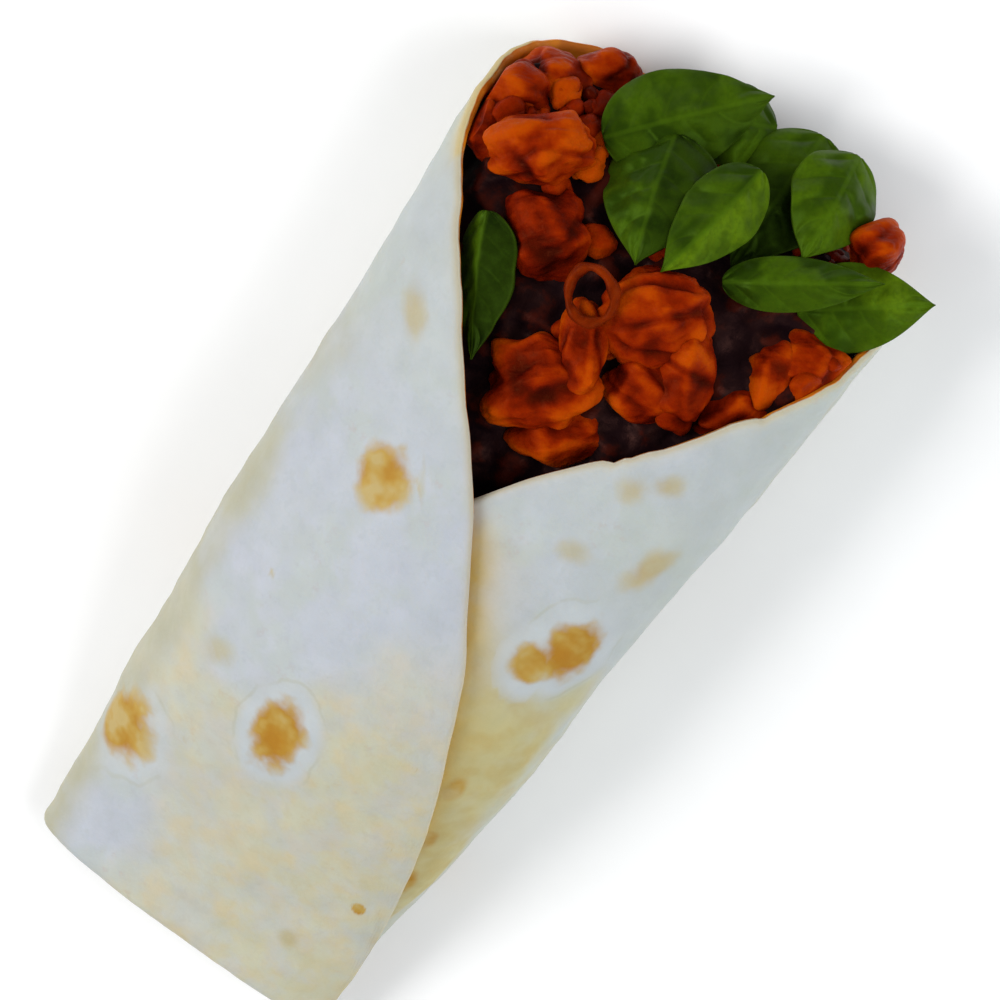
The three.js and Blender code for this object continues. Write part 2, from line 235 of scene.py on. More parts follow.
def skin_depth(turn, along):
    """Depth of the sheet's skin. The right flap lies one layer down, and two where the left
    flap's end is tucked in."""
    dive = smoothstep(-turn, *DIVE)
    tucked = 1 - smoothstep(along, TUCK + TUCK_LAP, TUCK + FADE)
    return dive * (SHEET + LAYER_GAP + (SHEET + FOLD_GAP) * tucked)


def pressed_in(points):
    """Points of the filling, with those that would come through the sheet pressed back inside."""
    x, y, z = points.T
    along = y + LENGTH / 2
    half = wrap_height(along) / 2
    turn = np.arctan2(-x / half_width(along), (half - SETTLE - z) / half)
    depth = skin_depth(turn, along) + SHEET + TOUCH
    wide, high = half_width(along) - depth, half - depth
    up = z + SETTLE - half
    power = np.where(up < 0, BACK_POWER, FRONT_POWER)
    reach = (np.abs(x / wide) ** power + np.abs(up / high) ** power) ** (1 / power)
    shrink = 1 / np.maximum(1.0, reach)
    return np.stack([x * shrink, y, up * shrink + half - SETTLE], axis=-1)


# ---- meshes ----

SEED_STEP = np.array([7.3, 3.1, 5.7])  # between the noises of two seeds
NOISE_GAIN = 1.6  # widens Blender's noise to about -1 to 1


def noise_at(points, scale, seed=0.0, octaves=1):
    """Smooth noise between about -1 and 1 at each point."""
    moved = np.asarray(points, float) / scale + seed * SEED_STEP
    flat = moved.reshape(-1, 3)
    if octaves == 1:
        values = [noise.noise(Vector(p)) for p in flat]
    else:
        values = [noise.fractal(Vector(p), 1.0, 2.0, octaves) for p in flat]
    return np.array(values).reshape(moved.shape[:-1]) * NOISE_GAIN


def placed(name, data):
    """A new object with this data, in the scene."""
    thing = bpy.data.objects.new(name, data)
    bpy.context.scene.collection.objects.link(thing)
    return thing


def mesh_piece(name, points, faces, fields=None):
    """A smooth mesh from points in millimetres, riding on the one body."""
    mesh = bpy.data.meshes.new(name)
    mesh.from_pydata((np.asarray(points) * MM).tolist(), [], faces)
    mesh.validate()
    mesh.shade_smooth()
    for field, values in (fields or {}).items():
        attribute = mesh.attributes.new(field, "FLOAT", "POINT")
        attribute.data.foreach_set("value", np.ascontiguousarray(values, np.float32).ravel())
    piece = placed(name, mesh)
    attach(piece, "root")
    return piece


def both_faces(upper, lower):
    """Closed sections: the points or values of one face, then the other's in backward order."""
    return np.concatenate([upper, lower[:, ::-1]], axis=1)


def outward(points, faces):
    """The faces, all turned over if they face in."""
    corners = points[np.array([face[:3] for face in faces])]
    volume = np.einsum("ij,ij->i", corners[:, 0], np.cross(corners[:, 1], corners[:, 2])).sum()
    return faces if volume > 0 else [face[::-1] for face in faces]


def loft_faces(points, sections):
    """Faces of a loft through this many closed sections, with strips over both ends."""
    count = len(points) // sections
    last = len(points) - count
    faces = []
    for i in range(0, last, count):
        for k in range(count):
            a, b = i + k, i + (k + 1) % count
            faces.append((a, b, b + count, a + count))
    for k in range(count // 2 - 1):
        strip = (k, k + 1, count - 2 - k, count - 1 - k)
        faces.append(strip[::-1])
        faces.append(tuple(index + last for index in strip))
    return outward(points, faces)


# ---- tortilla: its shape ----

TURNS = 340  # lengthwise cuts round the sheet
TUCK_ROWS = 5
BEND_ROWS = 10
OUTER_ROWS = 80
EDGE_ROWS = 7
EDGE_ROUND = 1.3  # how far in its rim is rounded off
EDGE_SHARE = 0.4  # of the sheet's length at most
EDGE_LEAST = 0.02  # keeps a little thickness at the very rim
SLOPE_STEP = 0.002
ARC_SHARE = 0.85  # of the half width, for each radian round the section
RIM_WAVE = 0.8
RIM_WAVE_BEAT = 4.0  # for each radian
RIM_WAVE_FADE = 60.0  # the waves are full from this distance along
BULGE = 0.7
BULGE_SIZE = 34.0
BLISTER = 0.16
BLISTER_SIZE = 5.0
CLEAR = (1.0, 7.0)  # the relief comes in between these heights above the floor


def rim_slope(turn):
    """How steeply the rim runs across the turns, in millimetres for each millimetre."""
    rise = (rim_along(turn + SLOPE_STEP) - rim_along(turn - SLOPE_STEP)) / (2 * SLOPE_STEP)
    return np.abs(rise) / (half_width(rim_along(turn)) * ARC_SHARE)


def rim_line(turns):
    """How far along the rim is at each turn, with its waves and dips."""
    places = np.stack([turns * RIM_WAVE_BEAT, turns * 0, turns * 0], -1)
    wave = noise_at(places, 1.0, seed=3, octaves=2)
    fade = np.minimum(1.0, rim_along(turns) / RIM_WAVE_FADE)
    rim = rim_along(turns) + RIM_WAVE * wave * fade
    for middle, half, deep in DIPS:
        rim = rim - deep * np.exp(-((np.degrees(turns) - middle) / half) ** 2)
    return rim


def sheet_lines(turns):
    """Distance, depth and outward way of the sheet's middle line, and its distance from the rim."""
    rim = rim_line(turns)
    skew = np.sqrt(1 + rim_slope(turns) ** 2)
    bend = FOLDED_END + BEND_CENTRE
    reach = rim - bend
    tuck = bend + np.clip(TUCK_SHARE * reach, TUCK_LEAST, TUCK - BEND_CENTRE)
    edge = np.minimum(EDGE_ROUND * skew, EDGE_SHARE * reach)
    rows = []
    for share in np.linspace(1, 1 / TUCK_ROWS, TUCK_ROWS):
        rows.append((bend + (tuck - bend) * share, SHEET / 2 + 2 * BEND_RADIUS, 0, 1))
    for angle in np.linspace(0, math.pi, BEND_ROWS + 1):
        way = (-math.sin(angle), math.cos(angle))
        depth = SHEET / 2 + BEND_RADIUS * (1 + way[1])
        rows.append((bend + BEND_RADIUS * way[0] + 0 * rim, depth, *way))
    for share in np.linspace(0, 1, OUTER_ROWS + 1)[1:]:
        rows.append((bend + (reach - edge) * share, SHEET / 2, 0, -1))
    for share in np.linspace(0, 1, EDGE_ROWS + 1)[1:]:
        rows.append((rim - edge * (1 - share) ** 2, SHEET / 2, 0, -1))
    along = np.stack([row[0] for row in rows], axis=1)
    depth, way_along, way_in = (np.array([row[k] for row in rows])[None, :] for k in (1, 2, 3))
    inset = (rim[:, None] - along) / skew[:, None]
    return along, depth, way_along, way_in, inset


def skin_noise(turn, along, size, seed, octaves):
    return noise_at(wrap_point(turn, along, 0.0), size, seed, octaves)


def sheet_relief(turn, along):
    """Gentle bulges and fine blisters, as a distance outward."""
    skin = wrap_point(turn, along, 0.0)
    bulge = BULGE * noise_at(skin, BULGE_SIZE, seed=1, octaves=2)
    blister = BLISTER * noise_at(skin, BLISTER_SIZE, seed=2, octaves=3)
    return (bulge + blister) * smoothstep(skin[..., 2], *CLEAR)


# ---- tortilla: its painted masks, with the turns and distances that they fade over ----

SPOT_STEP = 0.02  # a small turn, to measure the skin's arc by
SPOT_RAGGED = (0.1, 8.0)  # depth and size of the waves of a spot's edge
NO_SPOT = 4.0  # stands for no spot near, in a spot's own half sizes
FAR = 12.0  # the halos have faded out well before this distance
BACK_EDGE = (0.6, 1.2)  # turns where the back passes into the sides
SIDE_EDGE = (1.2, 1.8)  # and where the sides pass into the front
MIDDLE = (math.radians(165), math.radians(195))  # of the front
TAN_REACH = (58.0, 86.0)  # of the beige on the left flap, before and past the middle
TAN_SOFT = (4.0, 24.0)  # how softly it ends
TAN_WOBBLE = (7.0, 18.0)  # depth and size of its end's waves
TAN_LEFT = (0.85, 1.0)  # strength there
TAN_UNDER = 0.5  # strength on the back
WHITE_PATCH = (math.radians(124), 9.0)  # middle of the white patch at the left corner
WHITE_ARC = 34.0  # of the section for each radian there
WHITE_SIZE = 19.0
WHITE_EDGE = (0.7, 1.3)
WARM_LEFT = 0.9
WARM_LIPS = (100.0, 150.0)
WARM_RIGHT = (0.35, 1.0)  # on the right flap's inner part and the rest
RIGHT_INNER = (-2.6, -2.1)
WOBBLE_SIZE = 20.0
# The olive side is painted shade where the left side turns down, away from the light.
OLIVE_TURNS = ((0.9, 1.4), (math.radians(112), math.radians(132)))
OLIVE_END = (85.0, 140.0)
OLIVE_WOBBLE = (0.1, 14.0)  # of its edges, in turn and along
KHAKI_TURNS = (1.3, 1.8)
KHAKI_RAGGED = (-2.2, -1.8)  # its end wanders past these turns
KHAKI_END = (76.0, 98.0)
KHAKI_WOBBLE = (0.25, 10.0)
# The gold strip: partly toast, partly the painted shadow of the left flap's edge.
GOLD_SLANT = 0.45  # across the left flap's edge, for each millimetre along
GOLD_STRIP = (-2.0, 0.8, 3.0)  # its start and full width past that edge, and its fade
GOLD_TURNS = (1.9, 2.3)
GOLD_END = (102.0, 112.0)
LIP_WIDTH = (0.5, 2.1)  # plain, and at the left of the mouth
LIP_WIDE = 0.8
LIP_FULL = 0.3
LIP_LEFT = ((0.8, 1.1), (1.8, 2.1))
LIP_STRENGTH = (0.45, 0.85)
STAIN_BACK = ((0.35, 0.6), (1.0, 1.25))
STAIN_SIDE = ((0.55, 0.7), (0.85, 1.0))
STAIN_SIDE_SHARE = 0.5
STAIN_WIDTH = 2.2
STAIN_INSIDE = (5.0, 11.0)  # on the inner face, from the rim
STAIN_STRENGTH = 0.9
INNER_TOAST = 0.4  # strength of the spots on the inner face


def spot_fields(turn, along):
    """The nearest toasted spot: the distance from its middle in its own half sizes, the distance
    from its edge in millimetres, its strength and its halo's."""
    ragged = 1 + SPOT_RAGGED[0] * skin_noise(turn, along, SPOT_RAGGED[1], seed=5, octaves=2)
    nearest = np.full(turn.shape, NO_SPOT)
    away = np.full(turn.shape, FAR)
    strength = np.zeros(turn.shape)
    halo = np.zeros(turn.shape)
    for middle, at, across, lengthwise, slant, amount, ring in SPOTS:
        middle, slant = math.radians(middle), math.radians(slant)
        centre = wrap_point(np.array(middle), np.array(float(at)), 0.0)
        beside = wrap_point(np.array(middle + SPOT_STEP), np.array(float(at)), 0.0)
        scale = np.linalg.norm(beside - centre) / SPOT_STEP
        dx, dy = (turn - middle) * scale, along - at
        c, s = math.cos(slant), math.sin(slant)
        reach = np.hypot((dx * c + dy * s) / across, (dy * c - dx * s) / lengthwise) * ragged
        closer = reach < nearest
        nearest = np.where(closer, reach, nearest)
        outside = np.hypot(dx, dy) * (1 - 1 / np.maximum(reach, 1.0))
        away = np.where(closer, np.minimum(outside, FAR), away)
        strength = np.where(closer, amount, strength)
        halo = np.where(closer, ring, halo)
    return nearest, away, strength, halo


def tan_field(turn, along):
    """How far the sheet has gone from white to beige: low down on both flaps."""
    over = smoothstep(turn, *MIDDLE)
    far, size = TAN_WOBBLE
    limit = blend(TAN_REACH, over) + far * skin_noise(turn, along, size, seed=8, octaves=2)
    low = 1 - smoothstep(along, limit - blend(TAN_SOFT, over), limit + far)
    middle, at = WHITE_PATCH
    corner = np.hypot((turn - middle) * WHITE_ARC, along - at) / WHITE_SIZE
    strength = smoothstep(corner, *WHITE_EDGE) * blend(TAN_LEFT, over)
    left = smoothstep(turn, *SIDE_EDGE) * low * strength
    under = (1 - smoothstep(np.abs(turn), *SIDE_EDGE)) * TAN_UNDER
    return np.maximum(left, under)


def warm_field(turn, along):
    """Where the flour is warmer: towards the lips, and over most of the right flap."""
    left = WARM_LEFT * smoothstep(turn, *BACK_EDGE) * smoothstep(along, *WARM_LIPS)
    right = smoothstep(-turn, *BACK_EDGE) * blend(WARM_RIGHT, smoothstep(turn, *RIGHT_INNER))
    return np.maximum(left, right)


def side_painted_shade_field(turn, along):
    """Painted shade, olive, down the left side where the sheet turns away from the light, away from
    the mouth.
    """
    wobble = skin_noise(turn, along, WOBBLE_SIZE, seed=9, octaves=3)
    side = window(turn + OLIVE_WOBBLE[0] * wobble, *OLIVE_TURNS)
    return side * (1 - smoothstep(along + OLIVE_WOBBLE[1] * wobble, *OLIVE_END))


def khaki_field(turn, along):
    """The deeper tan of the right flap, partly its own colour and partly painted shade, low down
    where the left flap shades it.
    """
    wobble = skin_noise(turn, along, WOBBLE_SIZE, seed=10, octaves=3)
    shift = KHAKI_WOBBLE[1] * wobble * smoothstep(turn, *KHAKI_RAGGED)
    low = 1 - smoothstep(along + shift, *KHAKI_END)
    return smoothstep(-turn + KHAKI_WOBBLE[0] * wobble, *KHAKI_TURNS) * low


def gold_toast_and_shadow_field(turn, along):
    """A gold strip on the right flap, just clear of the left flap's edge: partly toasted, partly the
    painted shadow that the edge casts.
    """
    apart = (along - rim_along(turn + 2 * math.pi)) * GOLD_SLANT
    start, full, fade = GOLD_STRIP
    strip = np.where(apart > start, np.exp(-np.maximum(0.0, apart - full) / fade), 0.0)
    return strip * smoothstep(-turn, *GOLD_TURNS) * (1 - smoothstep(along, *GOLD_END))


def lip_field(turn, inset):
    """The thin toasted line along the rim, widest where the mouth opens on the left."""
    wide = blend(LIP_WIDTH, window(turn, *LIP_LEFT))
    line = np.exp(-np.maximum(0.0, inset - LIP_FULL) / wide)
    return line * blend(LIP_STRENGTH, wide > LIP_WIDE)


def stain_field(turn, inset, inner):
    """Sauce that has soaked into the lip of the mouth and, where inner is 1, the inner face."""
    back = window(turn, *STAIN_BACK)
    side = window(-turn, *STAIN_SIDE)
    lip = np.exp(-np.maximum(0.0, inset) / STAIN_WIDTH)
    inside = inner * (1 - smoothstep(inset, *STAIN_INSIDE)) * STAIN_STRENGTH
    return np.clip(np.maximum(back, STAIN_SIDE_SHARE * side) * lip + inside, 0, 1)


def sheet_fields(turn, along, depth, inset):
    """All the masks, on the outer face and then on the inner one."""
    nearest, away, strength, halo = spot_fields(turn, along)
    not_folded = np.where(depth > SHEET / 2 + BEND_RADIUS, 0.0, 1.0) + 0 * turn
    outer = {
        "spot": nearest,
        "away": away,
        "toast": strength,
        "halo": halo,
        "tan": tan_field(turn, along),
        "khaki": khaki_field(turn, along),
        "warm": warm_field(turn, along),
        "side": side_painted_shade_field(turn, along),
        "lip": lip_field(turn, inset),
        "gold_toast_and_shadow": gold_toast_and_shadow_field(turn, along),
        "stain": stain_field(turn, inset, 0.0),
    }
    inner = {
        **outer,
        "toast": strength * INNER_TOAST,
        "halo": halo * INNER_TOAST,
        "gold_toast_and_shadow": 0 * turn,
        "stain": stain_field(turn, inset, not_folded),
    }
    return {name: both_faces(outer[name], inner[name]) for name in outer}


def tortilla_piece():
    turns = np.linspace(*FLAP_ENDS, TURNS)
    along, depth, way_along, way_in, inset = sheet_lines(turns)
    turn = np.repeat(turns[:, None], along.shape[1], axis=1)
    skin = skin_depth(turn, along) + depth
    relief = sheet_relief(turn, along)
    roundness = np.sqrt(1 - (1 - np.clip(inset / EDGE_ROUND, EDGE_LEAST, 1)) ** 2)
    halves = []
    for side in (1, -1):
        half = side * SHEET / 2 * roundness
        halves.append(wrap_point(turn, along + half * way_along, skin + half * way_in - relief))
    points = both_faces(*halves).reshape(-1, 3)
    fields = sheet_fields(turn, along, depth, inset)
    piece = mesh_piece("tortilla_wrap", points, loft_faces(points, TURNS), fields)
    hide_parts("tortilla")
    return piece


# ---- filling bed: its near-black sauce is painted shade for the gaps between the pieces ----

BED_TURNS = 90
BED_SECTIONS = 150
BED_LUMP = 1.3
BED_LUMP_SIZE = 5.0
BED_OPEN = (2.0, 6.0)  # depths over which its lumps come in
FRONT_BULGE = 3.0  # of the rounded front, at its middle
FRONT_SQUARE = 3
FRONT_ROWS = 14
FRONT_CLOSE = 0.48 * math.pi  # angle that it is rounded over


def heap_height(along):
    share = max(0.0, along - HEAP_START) / HEAP_REACH
    return HEAP_HEIGHT * max(0.0, 1 - share ** HEAP_POWER) ** (1 / HEAP_POWER)


def bed_section(at):
    """The bed's floor and roof across the wrap, at this distance along it."""
    left = min(BED_SIDE, rim_turn(at, LEFT_FLAP) - BED_MARGIN)
    right = -min(BED_SIDE, rim_turn(at, RIGHT_FLAP) - BED_MARGIN)
    turns = np.linspace(left, right, BED_TURNS)
    floor = wrap_point(turns, at + 0 * turns, skin_depth(turns, at) + SHEET + BED_GAP)
    cover = skin_depth(-DIVE[1], at) + SHEET + BED_GAP
    top = np.minimum(upper_height(floor[:, 0], at, cover), heap_height(at))
    top = np.maximum(top, floor[:, 2] + BED_LEAST)
    return floor, np.column_stack([floor[:, :2], top])


def bed_grid():
    """Floor and roof of every section, from the folded end to the rounded front."""
    sections = [bed_section(at) for at in np.linspace(BED_START, BED_END, BED_SECTIONS)]
    low, high = sections[-1]
    middle = 1 - np.abs(np.linspace(-1, 1, BED_TURNS)) ** FRONT_SQUARE
    for angle in np.linspace(0, FRONT_CLOSE, FRONT_ROWS)[1:]:
        ahead = np.outer(FRONT_BULGE * math.sin(angle) * middle, [0, 1, 0])
        sections.append((low + ahead, low + (high - low) * math.cos(angle) + ahead))
    floor, roof = zip(*sections)
    return np.array(floor), np.array(roof)


def bed_piece(floor, roof):
    lump = noise_at(roof, BED_LUMP_SIZE, seed=11, octaves=4)
    open_top = smoothstep(roof[..., 2] - floor[..., 2], *BED_OPEN)
    lift = (BED_LUMP * lump - BED_LUMP)[..., None] * open_top[..., None]
    points = both_faces(floor, roof + lift * np.array([0, 0, 1])).reshape(-1, 3)
    fields = {"crest": both_faces(lump, lump)}
    piece = mesh_piece("sauce_bed_painted_shade", points, loft_faces(points, len(floor)), fields)
    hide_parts("filling_bed")
    return piece


# ---- chicken ----

CHUNK_DETAIL = 6
FACETS = 11
FACET_POWER = 7  # how sharply the facets meet
FACET_UNEVEN = 0.12  # of the facets' distances from the middle
FACET_BEAT = 3.7
SEED_BEAT = 2.1
GOLDEN_TURN = 2.39996
FACET_EDGE = (0.72, 0.98)  # ratios of two facets' pushes near the edge between them

# Depth in shares of the lump, size, and weight in the crest: painted light on bulges, painted shade
# in creases.
FIBRE = (0.035, 2.0, 0.06)
DENT = (0.14, 8.0, 0.4)
CREASE = (0.10, 8.0, 0.4)

# Painted highlight: the facets' edges are lighter.
EDGE_HIGHLIGHT = 0.25
FIBRE_GRAIN = np.array([0.25, 1.0, 1.0])  # both are drawn out along the chunk
CREASE_GRAIN = np.array([0.6, 1.0, 1.0])
CREASE_WIDTH = 0.22
CREASE_FULL = 42.0  # creases are weaker if the sizes add up to less


def ball_mesh(detail):
    """Unit directions and faces of an evenly divided ball."""
    ball = bmesh.new()
    bmesh.ops.create_icosphere(ball, subdivisions=detail, radius=1.0)
    ways = np.array([tuple(vertex.co.normalized()) for vertex in ball.verts])
    faces = [tuple(vertex.index for vertex in face.verts) for face in ball.faces]
    ball.free()
    return ways, faces


def facet_push(ways, seed):
    """How hard each direction presses on each of the lump's soft facets."""
    k = np.arange(FACETS)
    rise = 1 - (2 * k + 1) / FACETS
    turn = GOLDEN_TURN * k + seed
    flat = np.sqrt(1 - rise ** 2)
    normals = np.stack([flat * np.cos(turn), flat * np.sin(turn), rise])
    apart = 1 - FACET_UNEVEN + FACET_UNEVEN * np.sin(FACET_BEAT * k + SEED_BEAT * seed)
    return np.maximum(0.0, ways @ normals / apart)


def lump_reach(ways, seed):
    """Distance to the skin of a lump with soft facets, about 1 on the whole."""
    return (facet_push(ways, seed) ** FACET_POWER).sum(axis=1) ** (-1 / FACET_POWER)


def turned(heading, pitch=0.0, roll=0.0):
    """The rotation matrix for these angles in degrees."""
    angles = (math.radians(roll), math.radians(-pitch), math.radians(heading))
    return np.array(Euler(angles, "XYZ").to_matrix())


def seated(points, node):
    """The points moved so that the middle of their box is the middle of the node's."""
    low, high = (np.array(corner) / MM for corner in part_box(node))
    middle = (points.min(axis=0) + points.max(axis=0)) / 2
    return points + (low + high) / 2 - middle


def chunk_piece(index, size, heading, seed, tone, ways, faces):
    base = ways * (np.array(size) / 2) * lump_reach(ways, seed)[:, None]
    push = np.sort(facet_push(ways, seed), axis=1)
    edge = smoothstep(push[:, -2] / push[:, -1], *FACET_EDGE)
    fibre = noise_at(base * FIBRE_GRAIN, FIBRE[1], seed=seed + 20, octaves=3)
    dent = noise_at(base, DENT[1], seed=seed + 40, octaves=2)
    crease = noise_at(base * CREASE_GRAIN, CREASE[1], seed=seed)
    crease = np.exp(-(crease / CREASE_WIDTH) ** 2) * min(1.0, sum(size) / CREASE_FULL)
    grow = 1 + DENT[0] * dent - CREASE[0] * crease + FIBRE[0] * fibre
    points = seated(base * grow[:, None] @ turned(heading).T, f"chicken_piece_{index}")
    # The crest paints highlights on edges and bulges and shade in the creases, partly sauce pooled
    # there, plus the piece's tone.
    crest = EDGE_HIGHLIGHT * edge + FIBRE[2] * fibre + DENT[2] * dent - CREASE[2] * crease + tone
    piece = mesh_piece(f"chicken_{index}", pressed_in(points), faces, {"crest": crest})
    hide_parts(f"chicken_piece_{index}")
    return piece


def chicken_pieces():
    ways, faces = ball_mesh(CHUNK_DETAIL)
    return [chunk_piece(i + 1, *chunk, ways, faces) for i, chunk in enumerate(CHUNKS)]


# ---- sauce bits: small scraps of meat and sauce on the open bed ----

BITS = 130
BIT_DRAWS = 4  # seed of the random draws
BIT_DETAIL = 3
BIT_SIZES = (2.5, 8.0)
BIT_SKEW = 1.5  # above 1, more of them are small
BIT_STRETCH = (0.6, 1.1)
BIT_PITCH = 30.0  # in degrees, up or down
BIT_ROUGH = (0.16, 0.9)  # depth and size, in shares of their radius
BIT_SINK = np.array([0, 0.15, 0.12])  # into the bed, in their own sizes
BIT_PATCHES = (0.9, 12.0)  # depth and size of their shading
BIT_SPREAD = (-0.2, 0.1)
BIT_START = 66.0  # they lie in front of this distance from the origin
BIT_COVER = 8.0  # and where the bed is at least this deep
TOP_ROWS = (BED_SECTIONS // 2, BED_SECTIONS)
TOP_COLUMNS = (BED_TURNS // 8, BED_TURNS - BED_TURNS // 8)
FRONT_SHARE = 0.35
LIP_SHARE = 0.25  # these crowd the left of the mouth, and are brighter
LIP_ROWS = (BED_SECTIONS - BED_SECTIONS // 12, BED_SECTIONS)
LIP_COLUMNS = (BED_TURNS // 10, BED_TURNS // 3)
LIP_BRIGHT = 0.3
HOLLOW = (19, 67)  # no scraps lie in the dark hollow here
HOLLOW_SIZE = 7.0


def bit_place(draw, floor, roof):
    """A place on the bed's open top, rounded front or left lip, and how bright a scrap there is.
    None where the bed is hidden or too thin."""
    share = draw.random()
    row = draw.integers(*TOP_ROWS)
    column = draw.integers(*TOP_COLUMNS)
    if share < FRONT_SHARE:
        row = draw.integers(BED_SECTIONS, len(roof))
    elif share < FRONT_SHARE + LIP_SHARE:
        row = draw.integers(*LIP_ROWS)
        column = draw.integers(*LIP_COLUMNS)
    deep = roof[min(row, BED_SECTIONS - 1), column, 2] - floor[row, column, 2]
    place = roof[row, column]
    bright = LIP_BRIGHT if FRONT_SHARE < share < FRONT_SHARE + LIP_SHARE else 0.0
    return (place, bright) if place[1] > BIT_START and deep > BIT_COVER else None


def scrap(draw, place, ways):
    """The points of one scrap, about half sunk into the bed at its place, and its shade."""
    size = blend(BIT_SIZES, draw.random() ** BIT_SKEW)
    stretch = draw.uniform(*BIT_STRETCH, 3)
    seed = int(draw.integers(1, 60))
    heading, pitch = draw.uniform(0, 360), draw.uniform(-BIT_PITCH, BIT_PITCH)
    rough = 1 + BIT_ROUGH[0] * noise_at(ways, BIT_ROUGH[1], seed=seed, octaves=2)
    reach = lump_reach(ways, seed) * rough
    lump = (ways * stretch * size / 2 * reach[:, None]) @ turned(heading, pitch).T
    shade = BIT_PATCHES[0] * noise_at(place, BIT_PATCHES[1], seed=12) + draw.uniform(*BIT_SPREAD)
    return pressed_in(lump + place - BIT_SINK * size), shade


def bits_piece(floor, roof):
    """All the scraps as one joined mesh."""
    ways, faces = ball_mesh(BIT_DETAIL)
    draw = np.random.default_rng(BIT_DRAWS)
    points, joined, crests = [], [], []
    while len(points) < BITS:
        spot = bit_place(draw, floor, roof)
        if spot is None:
            continue
        place, bright = spot
        lump, shade = scrap(draw, place, ways)
        if math.dist(place[:2], HOLLOW) < HOLLOW_SIZE:
            continue
        joined += [tuple(corner + len(points) * len(ways) for corner in face) for face in faces]
        points.append(lump)
        crests.append(np.full(len(ways), shade + bright))
    fields = {"crest": np.concatenate(crests)}
    return mesh_piece("sauce_bits", np.concatenate(points), joined, fields)


# ---- basil ----

BLADE_STEPS = 90
BLADE_HALVES = 28
BLADE_ENDS = (0.004, 0.996)
BLADE_POWER = 0.7  # fullness of the blade's outline
TIP_TAPER = 0.4  # how much faster it narrows at the tip
TIP_POWER = 4  # how close to the tip that sets in
BLADE_LEAST = 0.012  # of its width is left at both ends
LEAF_SHEET = 0.5
LEAF_WAVES = 2.5  # along each edge
WAVE_SHIFT = 2  # between the waves of the two edges
LEAF_CREASE = (0.5, 7.0)  # depth and size
VEINS = 5.0  # side veins on each half
VEIN_SLANT = 0.22  # of the length, from the midrib to the edge
VEIN_CURVE = 1.3
VEIN_STAGGER = 0.25
VEIN_WIDTH = 0.09  # of the distance between two of them
VEIN_DEPTH = 0.22
SIDE_VEIN = 0.7  # depth of a side vein against the midrib's
MIDRIB_WIDTH = 0.6
PUCKER = 0.15  # how far the blade puffs out between its veins
PUCKER_START = (0.05, 0.4)  # of the half width
LIGHT_AND_SHADE_SEAM = (-0.15, 0.15)  # of the half width, where the halves' painted light and shade meet


def blade_width(share):
    taper = BLADE_POWER + TIP_TAPER * share ** TIP_POWER
    return np.maximum(BLADE_LEAST, np.sin(math.pi * share ** BLADE_POWER) ** taper)


def leaf_veins(share, across, reach):
    """The leaf's veins, and how far it puffs out between them, both as shares."""
    side = np.abs(across)
    lateral = VEINS * (share - VEIN_SLANT * side ** VEIN_CURVE) + VEIN_STAGGER * np.sign(across)
    groove = np.exp(-((lateral - np.round(lateral)) / VEIN_WIDTH) ** 2) * (1 - side ** 4)
    midrib = np.exp(-(reach / MIDRIB_WIDTH) ** 2)
    puff = -np.cos(2 * math.pi * lateral) * smoothstep(side, *PUCKER_START) * (1 - side ** 3)
    return np.maximum(groove * SIDE_VEIN, midrib), puff


def leaf_piece(index, length, width, heading, pitch, roll, arch, cup, ripple, folds, tints):
    share = np.linspace(*BLADE_ENDS, BLADE_STEPS)[:, None]
    across = np.linspace(-1, 1, 2 * BLADE_HALVES + 1)[None, :]
    profile = blade_width(share)
    side = np.abs(across)
    reach = side * width * profile / 2
    fold = np.radians(np.where(across < 0, *folds))
    vein, puff = leaf_veins(share, across, reach)
    x = (share - 0.5) * length + 0 * across
    flat = np.stack([x, across * width * profile / 2, 0 * x], -1)
    crease = noise_at(flat, LEAF_CREASE[1], seed=index, octaves=3)
    swing = np.sin(2 * math.pi * LEAF_WAVES * share + WAVE_SHIFT * np.sign(across))
    z = arch * (1 - (2 * share - 1) ** 2) - cup * across ** 2 * profile
    z = z + ripple * swing * across ** 2 * profile
    z = z - reach * np.sin(fold) + PUCKER * puff - VEIN_DEPTH * vein + LEAF_CREASE[0] * crease
    y = np.sign(across) * reach * np.cos(fold)
    halves = [np.stack([x, y, z + lift], -1) for lift in (LEAF_SHEET / 2, -LEAF_SHEET / 2)]
    points = both_faces(*halves).reshape(-1, 3) @ turned(heading, pitch, roll).T
    points = seated(points, f"basil_leaf_{index}")
    # The tint is painted light and shade: a half turned to the light is lighter, and the leaf grows
    # lighter or darker along its length.
    tint = blend(tints[:2], smoothstep(across, *LIGHT_AND_SHADE_SEAM)) + tints[2] * (2 * share - 1)
    masks = {"vein": vein, "edge": side, "tint": tint, "crease": crease}
    fields = {name: both_faces(mask + 0 * x, mask + 0 * x) for name, mask in masks.items()}
    piece = mesh_piece(f"leaf_{index}", points, loft_faces(points, BLADE_STEPS), fields)
    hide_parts(f"basil_leaf_{index}")
    return piece


# ---- pepper curl ----

CURL_RADII = (4.2, 4.8)
CURL_ROD = 0.9
CURL_SIDES = (96, 20)  # round the curl and round its rod
CURL_UNEVEN = (0.2, 0.12)  # of the rod's thickness, in slow and in quick waves
CURL_TALL = 1.2  # height of the rod's section against its width
CURL_WAVE = 0.5
CURL_TURN = (36, 10)  # heading and pitch in degrees


